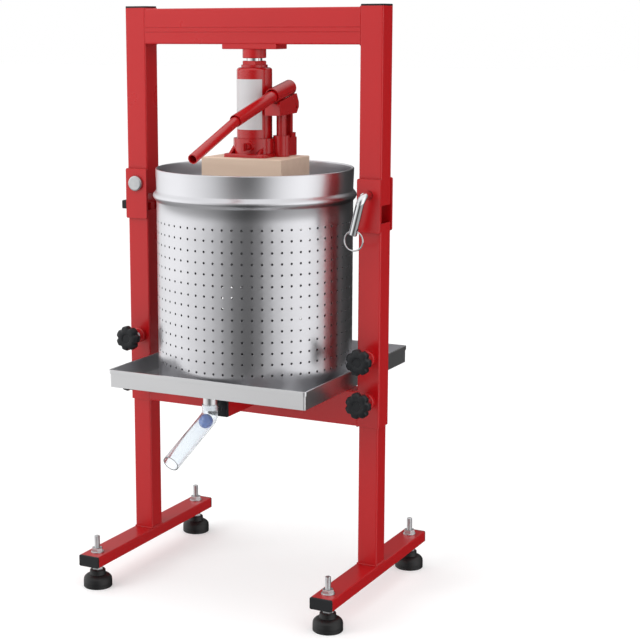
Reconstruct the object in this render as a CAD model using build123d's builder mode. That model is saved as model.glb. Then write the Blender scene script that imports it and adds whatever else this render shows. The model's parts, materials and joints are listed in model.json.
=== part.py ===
"""Hydraulic fruit press: a welded tube frame, a drum in a drip tray and a bottle jack.

Millimetres, +Z up, ground at z = 0, the front of the press looks along -Y.
"""
from build123d import *
from math import atan2, cos, degrees, radians, sin, tan
import os

os.makedirs("parts", exist_ok=True)

# ---- frame tube ----
post_spacing = 446.0        # between the centres of the two uprights
outer_tube = 40.0           # square tube of the upper uprights and the sleeves
outer_wall = 2.0
leg_fit = 0.5               # clearance all round a leg inside its sleeve
inner_wall = 2.0
tube_corner = 2.5           # outside corner radius of every square tube
bore_corner = 0.6

# ---- heights ----
bar_bottom = 42.0
bar_height = 20.0
sleeve_bottom = 304.0
sleeve_top = 648.0
hinge_height = 695.0
upper_bottom = 677.0
upper_top = 998.0
leg_top = 434.0

# ---- cross members ----
rail_height = 60.0
beam_height = 60.0
beam_drop = 1.5             # the beam sits this far below the top of the uprights
bearer_size = 40.0
bearer_reach = 136.0        # from the middle of the press to each capped end

# ---- foot bars and levelling feet ----
bar_width = 40.0
bar_length = 400.0          # over both end caps
bar_wall = 2.0
foot_offset = 172.0         # of each foot from the middle of its bar
pad_diameter = 50.0
pad_rim = 13.5
neck_diameter = 29.0
pad_shoulder = 22.5
pad_height = 31.0
pad_socket = 14.0
pad_edge = 1.0
stud_diameter = 10.0
stud_top = 92.0
stud_nut_flats = 17.0
stud_nut_height = 5.0
bar_nut_height = 8.0
bar_flange_diameter = 22.0
bar_flange_height = 1.6

# ---- end caps ----
cap_head = 3.0
cap_plug = 12.0
cap_chamfer = 0.8
cap_skin = 1.5
cap_fit = 0.1               # clearance all round between a cap and its tube

# ---- hinge and lock plates ----
plate_width = 42.0
plate_bottom = 633.0
plate_top = 721.0
plate_thickness = 5.0
plate_corner = 3.0
plate_gap = 0.4             # running clearance between a plate and the upright
bolt_diameter = 12.0
bolt_fit = 0.25
bolt_head_diameter = 27.0
bolt_head_height = 6.0
nut_flats = 19.0
nut_height = 10.0
bolt_tail = 3.0

# ---- swing stop ----
stop_bar_size = 12.0
stop_reach = 42.0           # from the hinge line to the capped end
stop_inner = 18.0           # from the hinge line to the inner end
stop_cap_size = 15.0
stop_cap_length = 11.0
stop_cap_end = 2.5          # thickness of the cap's closed end
stop_cap_fit = 0.1

# ---- locking pin ----
pin_diameter = 14.0
pin_fit = 0.3
pin_back = 42.0             # how far the pin reaches behind the middle of the upright
pin_front = 52.0            # middle of the pin's arm in front of the upright
pin_bend = 14.0
pin_drop = 64.0
pin_lean = 16.0
ring_radius = 16.4
ring_wire = 2.6
ring_hole = 7.6
ring_seat = 8.0             # from the arm's end up to the ring's hole

# ---- clamp knobs ----
clamp_heights = (350.0, 423.0)
clamp_screw = 10.0
clamp_fit = 0.25
boss_diameter = 26.0
boss_length = 8.0
boss_chamfer = 1.5
knob_diameter = 44.0
knob_thickness = 16.0
knob_gap = 24.0             # from the boss to the back of the knob
knob_neck = 20.0
knob_lobes = 7
scallop_radius = 9.0
scallop_centre = 27.5
screw_clearance = 0.1       # from the screw's tip to the leg

# ---- jack head ----
head_plate_length = 102.0
head_plate_thickness = 8.0
cup_wall = 5.0
cup_fit = 1.5               # clearance all round the ram in its cup
cup_height = 15.0

# ---- drip tray ----
tray_width = 369.0
tray_depth = 416.0
tray_centre = 28.0          # the tray's middle is behind the drum's middle
tray_height = 30.0
tray_wall = 1.2
tray_corner = 3.0
hem_height = 7.0
hem_thickness = 1.6
drain_offset = 160.0
stub_diameter = 24.0
stub_wall = 1.5
stub_end = 341.0

# ---- drain hose ----
hose_fit = 0.2              # clearance all round the drain stub
hose_wall = 1.8
hose_top = 350.0
hose_elbow = 330.0
hose_bend = 16.0
hose_reach = 123.0
hose_heading = 6.5          # degrees from straight forward towards the left
hose_pitch = 27.4           # degrees below level
ball_fit = 0.2              # clearance all round the ball in the hose
ball_place = 15.0

# ---- drum ----
drum_radius = 168.0
drum_wall = 1.5
drum_height = 365.0
drum_floor_lift = 6.0
bead_height = 20.0
bead_depth = 6.0
bead_below_rim = 46.0
rim_roll = 2.0

# ---- press plate and wood ----
press_plate_radius = 158.0
press_plate_thickness = 3.0
press_rim_height = 14.0
wood_length = 152.0
wood_depth = 106.0
wood_height = 90.0
wood_shift = 4.0
wood_chamfer = 1.0

# ---- bottle jack ----
jack_bottom = 749.0         # also the top of the wood block
flange_size = 80.0
flange_thickness = 6.0
rib_places = (-28.0, 26.0)  # of the two ribs on the front of the flange
rib_height = 20.0
rib_half = 2.5
rib_back = -10.0
rib_inset = 2.0
rib_root = 1.0              # how deep a rib is sunk in the flange
body_diameter = 72.0
body_height = 31.0
reservoir_diameter = 60.0
reservoir_wall = 2.5
reservoir_height = 113.0
shoulder = 5.0
cylinder_wall = 5.2
cylinder_fit = 0.2          # between the pressure cylinder and the reservoir's neck
ram_diameter = 27.0
ram_fit = 0.3
ram_floor_gap = 1.0         # under the lowered ram and the lowered plunger
top_nut_diameter = 45.0
top_nut_flange = 4.5
top_nut_flats = 39.0
top_nut_height = 11.0
ram_seat_gap = 0.5

# ---- jack pump ----
pump_x = 45.0
pump_y = 12.0
link_y = 42.0
pump_boss_diameter = 28.0
pump_boss_height = 35.5
web_shift = 6.0             # of the web between the body and the pump boss
web_inset = 2.0
web_step = 3.0
plunger_diameter = 17.0
plunger_fit = 0.25
plunger_seat = 10.0         # from the jack's foot up to the plunger's hole
plunger_above = 5.0         # of the lowered plunger above the pivot
lug_width = 16.0
lug_margin = 8.0            # of the lug behind the link
lug_height = 39.0
link_width = 9.0
link_thickness = 8.0
pivot_rise = 84.0           # from the jack's foot up to the handle's pivot
pivot_diameter = 7.0
pivot_fit = 0.3
link_eye = 14.0

# ---- jack handle ----
socket_wall = 1.8
socket_fit = 1.0            # clearance all round the tube in its socket
socket_length = 65.9
socket_end = 4.0            # thickness of the socket's closed end
socket_angle = 11.0         # degrees below level
socket_rear_y = 42.0
socket_rise = 31.03         # of the socket's rear end above the pivot
cheek_gap = 18.8
cheek_thickness = 4.6
yoke_web = 5.0
cheek_drop = 14.0           # from the pivot down to the cheeks' lower edge
cheek_top = 10.0            # from the socket's axis down to the cheeks' upper edge
web_sink = 1.0              # how deep the yoke's web is sunk in the socket's wall
cheek_front = -22.0
cheek_back = 50.0
tube_wall = 1.2
grip_fit = 1.0              # clearance all round the grip in the tube
tube_length = 160.0
tube_sag = 3.5              # droop of the tube in the loose socket
tube_insert = 28.0
grip_diameter = 16.0
grip_bore = 13.0
grip_length = 164.0
grip_sag = 5.4
grip_insert = 18.0

# ---- release valve ----
valve_x = 8.0
valve_height = 19.0
valve_boss_diameter = 18.0
valve_boss_front = 41.0
valve_stem = 9.0
valve_fit = 0.3
valve_head_diameter = 13.0
valve_head_length = 9.0
valve_head_gap = 0.5        # between the boss and the head
valve_stem_length = 13.5
valve_seat = 14.0           # depth of the stem's hole
valve_key_length = 8.0
valve_key_thickness = 4.0

# ---- derived values ----
inner_tube = outer_tube - 2 * outer_wall - 2 * leg_fit
cup_bore = ram_diameter + 2 * cup_fit
cup_diameter = cup_bore + 2 * cup_wall
cylinder_diameter = ram_diameter + 2 * ram_fit + 2 * cylinder_wall
stub_bore = stub_diameter - 2 * stub_wall
hose_bore = stub_diameter + 2 * hose_fit
ball_diameter = hose_bore - 2 * ball_fit
tube_bore = grip_diameter + 2 * grip_fit
tube_diameter = tube_bore + 2 * tube_wall
socket_bore = tube_diameter + 2 * socket_fit
socket_diameter = socket_bore + 2 * socket_wall
pivot_height = jack_bottom + pivot_rise
plunger_low = jack_bottom + plunger_seat
plunger_top = pivot_height + plunger_above
socket_rear_z = pivot_height + socket_rise
cheek_bottom = pivot_height - cheek_drop
half_tube = outer_tube / 2
half_spacing = post_spacing / 2
rail_span = post_spacing - outer_tube
rail_top = sleeve_bottom + rail_height
bearer_bottom = rail_top - bearer_size
bar_top = bar_bottom + bar_height
beam_top = upper_top - beam_drop
beam_bottom = beam_top - beam_height
head_plate_bottom = beam_bottom - head_plate_thickness
plate_inner = half_tube + plate_gap
plate_outer = plate_inner + plate_thickness
plate_middle = (plate_top + plate_bottom) / 2
drum_bottom = rail_top + tray_wall
drum_rim = drum_bottom + drum_height
drum_inner = drum_radius - drum_wall
bead_middle = drum_rim - bead_below_rim
wood_bottom = jack_bottom - wood_height
reservoir_bottom = jack_bottom + body_height
reservoir_top = reservoir_bottom + reservoir_height
nut_bottom = reservoir_top + shoulder
stop_bottom = sleeve_top
stop_middle = stop_bottom + stop_bar_size / 2

def droop(direction, angle):
    """The direction in the handle's plane that hangs lower by an angle in degrees."""
    lean = atan2(-direction.Z, -direction.Y) + radians(angle)
    return Vector(0, -cos(lean), -sin(lean))


# ---- the handle's line, from its socket to the end of its grip ----
slope = radians(socket_angle)
socket_rear = Vector(pump_x, socket_rear_y, socket_rear_z)
socket_direction = Vector(0, -cos(slope), -sin(slope))
socket_mouth = socket_rear + socket_direction * socket_length
tube_direction = droop(socket_direction, tube_sag)
tube_middle = socket_mouth - socket_direction * (tube_insert / 2)
tube_start = tube_middle - tube_direction * (tube_insert / 2)
tube_end = tube_start + tube_direction * tube_length
grip_direction = droop(tube_direction, grip_sag)
grip_middle = tube_end - tube_direction * (grip_insert / 2)
grip_start = grip_middle - grip_direction * (grip_insert / 2)
grip_end = grip_start + grip_direction * grip_length

# ---- origin: on the ground under the middle of the press's outline from above ----
outline_left = -half_spacing - stop_reach
outline_right = half_spacing + pad_diameter / 2
outline_back = tray_centre + tray_depth / 2 + hem_thickness
outline_front = grip_end.Y + grip_direction.Z * grip_diameter / 2
middle_x = (outline_left + outline_right) / 2
middle_y = (outline_front + outline_back) / 2


def save(piece, name):
    """Move a finished piece to the press's origin, label it and write it out."""
    placed = Pos(-middle_x, -middle_y, 0) * piece
    placed.label = name
    export_step(placed, f"parts/{name}.step")


def upright(x, bottom, top, size, wall, cross_hole=None):
    """A vertical square tube, with an optional hole along Y given as (height, diameter)."""
    with BuildPart() as tube:
        with BuildSketch(Plane.XY.offset(bottom)):
            with Locations((x, 0)):
                RectangleRounded(size, size, tube_corner)
                RectangleRounded(size - 2 * wall, size - 2 * wall, bore_corner, mode=Mode.SUBTRACT)
        extrude(amount=top - bottom)
        if cross_hole:
            height, diameter = cross_hole
            with Locations(Location((x, 0, height), (90, 0, 0))):
                Cylinder(diameter / 2, 2 * size, mode=Mode.SUBTRACT)
    return tube.part


def level_tube(plane, length, width, height, wall):
    """A closed rectangular tube that starts on a plane and runs along its normal."""
    with BuildPart() as tube:
        with BuildSketch(plane):
            RectangleRounded(width, height, tube_corner)
            RectangleRounded(width - 2 * wall, height - 2 * wall, bore_corner, mode=Mode.SUBTRACT)
        extrude(amount=length)
    return tube.part


def end_cap(plane, width, height, wall):
    """A moulded cap: a flat head on the tube's end and a hollow plug inside it. The plane faces out."""
    plug_width = width - 2 * wall - 2 * cap_fit
    plug_height = height - 2 * wall - 2 * cap_fit
    with BuildPart() as cap:
        with BuildSketch(plane):
            RectangleRounded(width, height, tube_corner)
        extrude(amount=cap_head)
        outer_face = cap.faces().sort_by(Axis(plane.origin, plane.z_dir))[-1]
        chamfer(outer_face.edges(), cap_chamfer)
        with BuildSketch(plane):
            RectangleRounded(plug_width, plug_height, bore_corner)
            RectangleRounded(plug_width - 2 * cap_skin, plug_height - 2 * cap_skin, bore_corner,
                             mode=Mode.SUBTRACT)
        extrude(amount=-cap_plug)
    return cap.part


# ---- lower frame: two sleeves, the cross rail and the tray bearer ----
for side, name in ((-1, "left_sleeve"), (1, "right_sleeve")):
    x = side * half_spacing
    with BuildPart() as sleeve:
        add(upright(x, sleeve_bottom, sleeve_top, outer_tube, outer_wall))
        screw_places = [(x, height) for height in clamp_heights]
        with BuildSketch(Plane.XZ.offset(half_tube)):
            with Locations(*screw_places):
                Circle(boss_diameter / 2)
        extrude(amount=boss_length)
        boss_faces = sleeve.faces().sort_by(Axis.Y)[:2]
        chamfer(boss_faces.edges(), boss_chamfer)
        with BuildSketch(Plane.XZ.offset(inner_tube / 2)):
            with Locations(*screw_places):
                Circle(clamp_screw / 2 + clamp_fit)
        extrude(amount=boss_length + half_tube, mode=Mode.SUBTRACT)
    save(sleeve.part, name)

with BuildPart() as cross_rail:
    rail_end = Vector(-rail_span / 2, 0, sleeve_bottom + rail_height / 2)
    rail_start = Plane(origin=rail_end, x_dir=(0, 1, 0), z_dir=(1, 0, 0))
    add(level_tube(rail_start, rail_span, outer_tube, rail_height, outer_wall))
    with Locations((0, 0, rail_top - bearer_size / 2)):
        Box(bearer_size, 2 * outer_tube, bearer_size, mode=Mode.SUBTRACT)
save(cross_rail.part, "cross_rail")

bearer_half = bearer_reach - cap_head
bearer_end = Vector(0, bearer_half, bearer_bottom + bearer_size / 2)
bearer_start = Plane(origin=bearer_end, x_dir=(1, 0, 0), z_dir=(0, -1, 0))
bearer_front_end = bearer_start.offset(2 * bearer_half)
bearer_back_end = Plane(origin=bearer_start.origin, x_dir=(1, 0, 0), z_dir=(0, 1, 0))
with BuildPart() as tray_bearer:
    add(level_tube(bearer_start, 2 * bearer_half, bearer_size, bearer_size, outer_wall))
save(tray_bearer.part, "tray_bearer")
save(end_cap(bearer_front_end, bearer_size, bearer_size, outer_wall), "bearer_cap_front")
save(end_cap(bearer_back_end, bearer_size, bearer_size, outer_wall), "bearer_cap_back")

# ---- hinge plates at the left and lock plates at the right ----
bolt_hole = bolt_diameter + 2 * bolt_fit
pin_hole = pin_diameter + 2 * pin_fit
for side, side_name, hole in ((-1, "left", bolt_hole), (1, "right", pin_hole)):
    x = side * half_spacing
    for face, face_name in ((Plane.XZ, "front"), (Plane.XZ.rotated((180, 0, 0)), "back")):
        direction = face.z_dir.Y
        flip = 1 if direction < 0 else -1
        with BuildPart() as plate:
            with BuildSketch(face.offset(plate_inner)):
                with Locations((x, flip * plate_middle)):
                    RectangleRounded(plate_width, plate_top - plate_bottom, plate_corner)
                with Locations((x, flip * hinge_height)):
                    Circle(hole / 2, mode=Mode.SUBTRACT)
            extrude(amount=plate_thickness)
            with BuildSketch(face.offset(half_tube)):
                with Locations((x, flip * (plate_bottom + sleeve_top) / 2)):
                    Rectangle(outer_tube - 2 * tube_corner, sleeve_top - plate_bottom)
            extrude(amount=plate_gap)
        save(plate.part, f"{side_name}_plate_{face_name}")

# ---- swing stop on top of the left sleeve ----
stop_outer_x = -half_spacing - stop_reach
stop_inner_x = -half_spacing + stop_inner
cap_inner_x = stop_outer_x + stop_cap_length
bar_outer_x = stop_outer_x + stop_cap_end
with BuildPart() as stop_bar:
    with BuildSketch(Plane(origin=(stop_inner_x, 0, stop_middle), x_dir=(0, 1, 0), z_dir=(-1, 0, 0))):
        RectangleRounded(stop_bar_size, stop_bar_size, 1.0)
    extrude(amount=stop_inner_x - bar_outer_x)
save(stop_bar.part, "stop_bar")

with BuildPart() as stop_cap:
    with BuildSketch(Plane(origin=(cap_inner_x, 0, stop_middle), x_dir=(0, 1, 0), z_dir=(-1, 0, 0))):
        RectangleRounded(stop_cap_size, stop_cap_size, 2.0)
    extrude(amount=stop_cap_length)
    chamfer(stop_cap.faces().sort_by(Axis.X)[0].edges(), 1.0)
    pocket = stop_bar_size + 2 * stop_cap_fit
    with BuildSketch(Plane(origin=(cap_inner_x, 0, stop_middle), x_dir=(0, 1, 0), z_dir=(-1, 0, 0))):
        Rectangle(pocket, pocket)
    extrude(amount=cap_inner_x - bar_outer_x + stop_cap_fit, mode=Mode.SUBTRACT)
save(stop_cap.part, "stop_bar_cap")

# ---- hinge bolt and its nut ----
bolt_length = 2 * plate_outer + nut_height + bolt_tail
with BuildPart() as hinge_bolt:
    with BuildSketch(Plane.XZ.offset(plate_outer)):
        with Locations((-half_spacing, hinge_height)):
            Circle(bolt_head_diameter / 2)
    extrude(amount=bolt_head_height)
    fillet(hinge_bolt.faces().sort_by(Axis.Y)[0].edges(), bolt_head_height * 0.45)
    with BuildSketch(Plane.XZ.offset(plate_outer)):
        with Locations((-half_spacing, hinge_height)):
            Circle(bolt_diameter / 2)
    extrude(amount=-bolt_length)
    chamfer(hinge_bolt.faces().sort_by(Axis.Y)[-1].edges(), 1.0)
save(hinge_bolt.part, "hinge_bolt")

with BuildPart() as hinge_nut:
    with BuildSketch(Plane.XZ.offset(-plate_outer - nut_height)):
        with Locations((-half_spacing, hinge_height)):
            RegularPolygon(nut_flats / 2, 6, major_radius=False)
            Circle(bolt_diameter / 2 + 0.05, mode=Mode.SUBTRACT)
    extrude(amount=nut_height)
save(hinge_nut.part, "hinge_nut")

# ---- swinging top frame: two uprights, the beam, the head plate and the ram cup ----
for side, name, hole in ((-1, "left_post", bolt_hole), (1, "right_post", pin_hole)):
    x = side * half_spacing
    with BuildPart() as post:
        add(upright(x, upper_bottom, upper_top, outer_tube, outer_wall, (hinge_height, hole)))
    save(post.part, name)
    post_end = Plane(origin=(x, 0, upper_top), z_dir=(0, 0, 1))
    save(end_cap(post_end, outer_tube, outer_tube, outer_wall), name + "_cap")

with BuildPart() as top_beam:
    beam_end = Vector(-rail_span / 2, 0, beam_bottom + beam_height / 2)
    beam_start = Plane(origin=beam_end, x_dir=(0, 1, 0), z_dir=(1, 0, 0))
    add(level_tube(beam_start, rail_span, outer_tube, beam_height, outer_wall))
save(top_beam.part, "top_beam")

with BuildPart() as head_plate:
    with BuildSketch(Plane.XY.offset(head_plate_bottom)):
        Rectangle(head_plate_length, outer_tube)
    extrude(amount=head_plate_thickness)
    chamfer(head_plate.faces().sort_by(Axis.Z)[0].edges(), 0.8)
save(head_plate.part, "head_plate")

with BuildPart() as ram_cup:
    with BuildSketch(Plane.XY.offset(head_plate_bottom - cup_height)):
        Circle(cup_diameter / 2)
        Circle(cup_bore / 2, mode=Mode.SUBTRACT)
    extrude(amount=cup_height)
    chamfer(ram_cup.faces().sort_by(Axis.Z)[0].edges(), 1.0)
save(ram_cup.part, "ram_cup")

# ---- locking pin with its bent arm, and the ring through the arm ----
pin_start = Vector(half_spacing, pin_back, hinge_height)
pin_corner = Vector(half_spacing, -pin_front, hinge_height)
pin_end = Vector(half_spacing - pin_lean, -pin_front, hinge_height - pin_drop)
arm_direction = (pin_end - pin_corner).normalized()
ring_eye = pin_end - arm_direction * ring_seat
with BuildPart() as locking_pin:
    with BuildLine() as pin_path:
        FilletPolyline(pin_start, pin_corner, pin_end, radius=pin_bend)
    with BuildSketch(Plane(origin=pin_start, z_dir=(0, -1, 0))):
        Circle(pin_diameter / 2)
    sweep(path=pin_path.line)
    fillet(locking_pin.faces().sort_by(Axis.Y)[-1].edges(), 2.0)
    fillet(locking_pin.faces().sort_by(Axis.Z)[0].edges(), 2.0)
    with Locations(Location(ring_eye, (0, 90, 0))):
        Cylinder(ring_hole / 2, 2 * pin_diameter, mode=Mode.SUBTRACT)
save(locking_pin.part, "locking_pin")

with BuildPart() as pin_ring:
    with Locations(Location(ring_eye - Vector(0, 0, ring_radius), (90, 0, 0))):
        Torus(ring_radius, ring_wire / 2)
save(pin_ring.part, "pin_ring")

# ---- sliding legs, foot bars and levelling feet ----
for side, side_name in ((-1, "left"), (1, "right")):
    x = side * half_spacing
    save(upright(x, bar_top, leg_top, inner_tube, inner_wall), f"{side_name}_leg")

    bar_half = bar_length / 2 - cap_head
    bar_start = Plane(origin=(x, bar_half, bar_bottom + bar_height / 2), x_dir=(1, 0, 0), z_dir=(0, -1, 0))
    foot_places = [(x, -foot_offset), (x, foot_offset)]
    with BuildPart() as foot_bar:
        add(level_tube(bar_start, 2 * bar_half, bar_width, bar_height, bar_wall))
        with BuildSketch(Plane.XY.offset(bar_top)):
            with Locations(*foot_places):
                Circle(bar_flange_diameter / 2)
        extrude(amount=bar_flange_height)
        with BuildSketch(Plane.XY.offset(bar_top + bar_flange_height)):
            with Locations(*foot_places):
                RegularPolygon(stud_nut_flats / 2, 6, major_radius=False)
        extrude(amount=bar_nut_height - bar_flange_height)
        with Locations(*[(place[0], place[1], bar_top) for place in foot_places]):
            Cylinder(stud_diameter / 2 + clamp_fit, 4 * bar_height, mode=Mode.SUBTRACT)
    save(foot_bar.part, f"{side_name}_foot_bar")

    front_end = bar_start.offset(2 * bar_half)
    back_end = Plane(origin=bar_start.origin, x_dir=(1, 0, 0), z_dir=(0, 1, 0))
    save(end_cap(front_end, bar_width, bar_height, bar_wall), f"{side_name}_bar_cap_front")
    save(end_cap(back_end, bar_width, bar_height, bar_wall), f"{side_name}_bar_cap_back")

    for direction, place_name in ((-1, "front"), (1, "back")):
        y = direction * foot_offset
        pad_radius = pad_diameter / 2
        neck_radius = neck_diameter / 2
        with BuildPart() as pad:
            with BuildSketch(Plane.XZ):
                with BuildLine():
                    Polyline((0, 0), (pad_radius - pad_edge, 0), (pad_radius, pad_edge),
                             (pad_radius, pad_rim))
                    Spline((pad_radius, pad_rim),
                           (neck_radius + 4 * pad_edge, pad_shoulder - 2.5 * pad_edge),
                           (neck_radius, pad_shoulder),
                           tangents=((-0.3, 1), (-0.5, 1)))
                    Polyline((neck_radius, pad_shoulder), (neck_radius - pad_edge, pad_height),
                             (0, pad_height), (0, 0))
                make_face()
            revolve(axis=Axis.Z)
            with Locations((0, 0, (pad_socket + pad_height) / 2)):
                Cylinder(stud_diameter / 2 + clamp_fit, pad_height - pad_socket, mode=Mode.SUBTRACT)
        save(Pos(x, y, 0) * pad.part, f"{side_name}_{place_name}_pad")

        with BuildPart() as stud:
            with BuildSketch(Plane.XY.offset(pad_socket)):
                Circle(stud_diameter / 2)
            extrude(amount=stud_top - pad_socket)
            chamfer(stud.faces().sort_by(Axis.Z)[-1].edges(), 1.2)
            with BuildSketch(Plane.XY.offset(pad_height)):
                RegularPolygon(stud_nut_flats / 2, 6, major_radius=False)
            extrude(amount=stud_nut_height)
        save(Pos(x, y, 0) * stud.part, f"{side_name}_{place_name}_stud")

# ---- clamp knobs: a lobed head on a screw that presses on the leg ----
knob_back = half_tube + boss_length + knob_gap
screw_tip = inner_tube / 2 + screw_clearance
for side, side_name in ((-1, "left"), (1, "right")):
    for height, height_name in zip(clamp_heights, ("lower", "upper")):
        place = (side * half_spacing, height)
        with BuildPart() as knob:
            with BuildSketch(Plane.XZ.offset(knob_back)):
                with Locations(place):
                    Circle(knob_diameter / 2)
                    with PolarLocations(scallop_centre, knob_lobes):
                        Circle(scallop_radius, mode=Mode.SUBTRACT)
            extrude(amount=knob_thickness)
            chamfer(knob.faces().sort_by(Axis.Y)[0].edges(), 1.2)
            with BuildSketch(Plane.XZ.offset(knob_back)):
                with Locations(place):
                    Circle(knob_neck / 2)
            extrude(amount=-knob_gap / 2)
            with BuildSketch(Plane.XZ.offset(screw_tip)):
                with Locations(place):
                    Circle(clamp_screw / 2)
            extrude(amount=knob_back - screw_tip)
        save(knob.part, f"{side_name}_{height_name}_knob")

# ---- drip tray with its drain stub ----
floor_top = rail_top + tray_wall
with BuildPart() as drip_tray:
    with BuildSketch(Plane.XY.offset(rail_top)):
        with Locations((0, tray_centre)):
            RectangleRounded(tray_width, tray_depth, tray_corner)
    extrude(amount=tray_height)
    with BuildSketch(Plane.XY.offset(rail_top + tray_height - hem_height)):
        with Locations((0, tray_centre)):
            RectangleRounded(tray_width + 2 * hem_thickness, tray_depth + 2 * hem_thickness,
                             tray_corner + hem_thickness)
    extrude(amount=hem_height)
    with BuildSketch(Plane.XY.offset(floor_top)):
        with Locations((0, tray_centre)):
            RectangleRounded(tray_width - 2 * tray_wall, tray_depth - 2 * tray_wall,
                             tray_corner - tray_wall)
    extrude(amount=tray_height, mode=Mode.SUBTRACT)
    with BuildSketch(Plane.XY.offset(stub_end)):
        with Locations((0, -drain_offset)):
            Circle(stub_diameter / 2)
    extrude(amount=rail_top - stub_end)
    with BuildSketch(Plane.XY.offset(stub_end)):
        with Locations((0, -drain_offset)):
            Circle(stub_bore / 2)
    extrude(amount=floor_top - stub_end, mode=Mode.SUBTRACT)
save(drip_tray.part, "drip_tray")

# ---- clear drain hose and the ball inside it ----
heading = radians(hose_heading)
pitch = radians(hose_pitch)
hose_direction = Vector(-sin(heading) * cos(pitch), -cos(heading) * cos(pitch), -sin(pitch))
elbow = Vector(0, -drain_offset, hose_elbow)
hose_start = Vector(0, -drain_offset, hose_top)
with BuildPart() as drain_hose:
    with BuildLine() as hose_path:
        FilletPolyline(hose_start, elbow, elbow + hose_direction * hose_reach, radius=hose_bend)
    with BuildSketch(Plane(origin=hose_start, x_dir=(1, 0, 0), z_dir=(0, 0, -1))):
        Circle(hose_bore / 2 + hose_wall)
        Circle(hose_bore / 2, mode=Mode.SUBTRACT)
    sweep(path=hose_path.line)
save(drain_hose.part, "drain_hose")

with BuildPart() as stopper_ball:
    with Locations(elbow + hose_direction * ball_place):
        Sphere(ball_diameter / 2)
save(stopper_ball.part, "stopper_ball")

# ---- drum: a rolled wall with a bead and a rim, and a floor ----
with BuildPart() as drum:
    bead_low = bead_middle - bead_height / 2
    bead_high = bead_middle + bead_height / 2
    with BuildSketch(Plane.XZ):
        with BuildLine():
            Line((drum_inner, drum_bottom), (drum_radius, drum_bottom))
            Line((drum_radius, drum_bottom), (drum_radius, bead_low))
            ThreePointArc((drum_radius, bead_low), (drum_radius + bead_depth, bead_middle),
                          (drum_radius, bead_high))
            Line((drum_radius, bead_high), (drum_radius, drum_rim))
            Line((drum_radius, drum_rim), (drum_inner, drum_rim))
            Line((drum_inner, drum_rim), (drum_inner, bead_high))
            ThreePointArc((drum_inner, bead_high), (drum_inner + bead_depth, bead_middle),
                          (drum_inner, bead_low))
            Line((drum_inner, bead_low), (drum_inner, drum_bottom))
        make_face()
        with Locations((drum_radius - drum_wall / 2, drum_rim - rim_roll)):
            Circle(rim_roll)
    revolve(axis=Axis.Z)
    with BuildSketch(Plane.XY.offset(drum_bottom + drum_floor_lift)):
        Circle(drum_radius - drum_wall / 2)
    extrude(amount=drum_wall)
save(drum.part, "drum")

# ---- press plate and the wood block on it ----
with BuildPart() as press_plate:
    plate_base = wood_bottom - press_plate_thickness
    rim_top = plate_base + press_rim_height
    rim_inner = press_plate_radius - press_plate_thickness
    with BuildSketch(Plane.XZ):
        with BuildLine():
            Polyline((0, plate_base), (press_plate_radius, plate_base), (press_plate_radius, rim_top),
                     (rim_inner, rim_top), (rim_inner, wood_bottom), (0, wood_bottom), close=True)
        make_face()
    revolve(axis=Axis.Z)
save(press_plate.part, "press_plate")

with BuildPart() as wood_block:
    with BuildSketch(Plane.XY.offset(wood_bottom)):
        with Locations((wood_shift, -wood_shift)):
            Rectangle(wood_length, wood_depth)
    extrude(amount=wood_height)
    chamfer(wood_block.edges(), wood_chamfer)
save(wood_block.part, "wood_block")

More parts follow.
